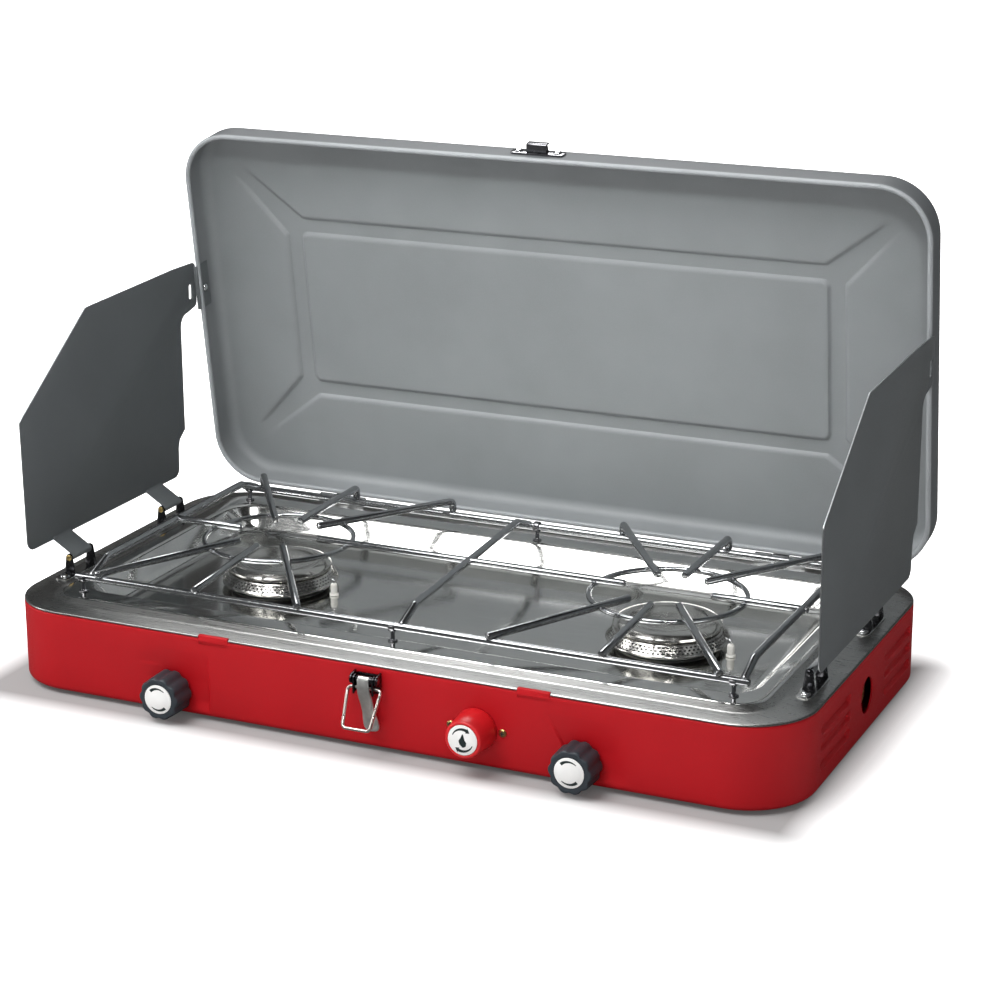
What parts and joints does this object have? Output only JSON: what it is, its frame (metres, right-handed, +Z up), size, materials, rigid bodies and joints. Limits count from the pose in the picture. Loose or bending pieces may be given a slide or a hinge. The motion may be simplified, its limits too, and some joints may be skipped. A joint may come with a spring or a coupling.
{
  "type": "two-burner camp stove",
  "caption": "Suitcase camp stove: steel case with pressed pan, burners under a wire pot grate, hinged lid held by folding windshields, gas valves, rotary igniter and draw latch.",
  "frame": {"origin": "middle of the rest-pose bounding box in X and Y, on the plane under the feet", "axes": "+Z up, +X to the cook's right along the long side, +Y from the knobs towards the lid's hinge"},
  "size_m": [0.6022, 0.3621, 0.372],
  "materials": {
    "case_red": "satin powder coat",
    "lid_grey": "fine textured powder coat",
    "windshield_grey": "fine textured powder coat",
    "stainless": "bright pressed sheet",
    "chrome": "plated",
    "brass": "machined",
    "aluminium": "cast and drawn",
    "knob_slate": "moulded",
    "black_plastic": "moulded",
    "white_label": "printed disc",
    "ceramic": "glazed ceramic",
    "rubber": "moulded"
  },
  "bodies": {
    "base": {"base_case": "case_red", "top_pan": "stainless", "foot_front_left": "rubber", "foot_front_right": "rubber", "foot_rear_left": "rubber", "foot_rear_right": "rubber", "burner_body_left": "aluminium", "burner_body_right": "aluminium", "flame_ring_left": "stainless", "flame_ring_right": "stainless", "burner_cap_left": "stainless", "burner_cap_right": "stainless", "spark_electrode_left": "ceramic", "spark_electrode_right": "ceramic", "valve_body_left": "brass", "valve_body_right": "brass", "gas_jet_left": "brass", "gas_jet_right": "brass", "gas_inlet": "brass", "supply_pipe": "aluminium", "cross_pipe": "aluminium", "igniter_body": "black_plastic", "igniter_screw_left": "brass", "igniter_screw_right": "brass", "ignition_lead_left": "black_plastic", "ignition_lead_right": "black_plastic", "grate_clip_front_left": "stainless", "grate_clip_front_centre": "stainless", "grate_clip_front_right": "stainless", "grate_clip_rear_left": "stainless", "grate_clip_rear_centre": "stainless", "grate_clip_rear_right": "stainless", "case_hinge_leaf_left": "chrome", "case_hinge_leaf_right": "chrome", "windshield_bracket_front_left": "chrome", "windshield_bracket_front_right": "chrome", "windshield_bracket_rear_left": "chrome", "windshield_bracket_rear_right": "chrome", "latch_base": "chrome"},
    "lid_hinge_pin": {"lid_hinge_pin": "chrome"},
    "lid": {"lid_shell": "lid_grey", "lid_catch": "chrome", "windshield_clip_left": "windshield_grey", "windshield_clip_right": "windshield_grey", "lid_hinge_leaf_left": "chrome", "lid_hinge_leaf_right": "chrome"},
    "windshield_left": {"windshield_left": "windshield_grey"},
    "windshield_right": {"windshield_right": "windshield_grey"},
    "knob_left": {"knob_left": "knob_slate", "knob_label_left": "white_label", "valve_stem_left": "brass"},
    "knob_right": {"knob_right": "knob_slate", "knob_label_right": "white_label", "valve_stem_right": "brass"},
    "igniter_knob": {"igniter_knob": "case_red", "igniter_label": "white_label"},
    "pot_grate": {"pot_grate": "chrome"},
    "latch_lever": {"latch_lever": "chrome"},
    "latch_bail": {"latch_bail": "chrome"}
  },
  "joints": [
    {"name": "lid_pin_turn", "type": "hinge", "parent": "base", "child": "lid_hinge_pin", "pos_m": [0, 0.15476, 0.0665], "axis": [-1, 0, 0], "range_deg": [-19, 0]},
    {"name": "lid_swing", "type": "hinge", "parent": "lid_hinge_pin", "child": "lid", "pos_m": [0, 0.15476, 0.0665], "axis": [-1, 0, 0], "range_deg": [-63, 13]},
    {"name": "windshield_left_fold", "type": "hinge", "parent": "base", "child": "windshield_left", "pos_m": [-0.2853, -0.00234, 0.077], "axis": [0, -1, 0], "range_deg": [-90, 0]},
    {"name": "windshield_right_fold", "type": "hinge", "parent": "base", "child": "windshield_right", "pos_m": [0.2853, -0.00234, 0.077], "axis": [0, 1, 0], "range_deg": [-90, 0]},
    {"name": "grate_lift", "type": "hinge", "parent": "base", "child": "pot_grate", "pos_m": [0, 0.11766, 0.0785], "axis": [-1, 0, 0], "range_deg": [0, 65]},
    {"name": "knob_left_turn", "type": "hinge", "parent": "base", "child": "knob_left", "pos_m": [-0.155, -0.15784, 0.0192], "axis": [0, -1, 0], "range_deg": [0, 270]},
    {"name": "knob_right_turn", "type": "hinge", "parent": "base", "child": "knob_right", "pos_m": [0.155, -0.15784, 0.0192], "axis": [0, -1, 0], "range_deg": [0, 270]},
    {"name": "igniter_turn", "type": "hinge", "parent": "base", "child": "igniter_knob", "pos_m": [0.08, -0.15784, 0.03], "axis": [0, -1, 0], "range_deg": [0, 90], "stiffness_Nm_per_rad": 0.01},
    {"name": "latch_lever_lift", "type": "hinge", "parent": "base", "child": "latch_lever", "pos_m": [0, -0.16384, 0.054], "axis": [1, 0, 0], "range_deg": [-110, 0]},
    {"name": "latch_bail_swing", "type": "hinge", "parent": "latch_lever", "child": "latch_bail", "pos_m": [0, -0.16384, 0.048], "axis": [-1, 0, 0], "range_deg": [-20, 165]}
  ]
}
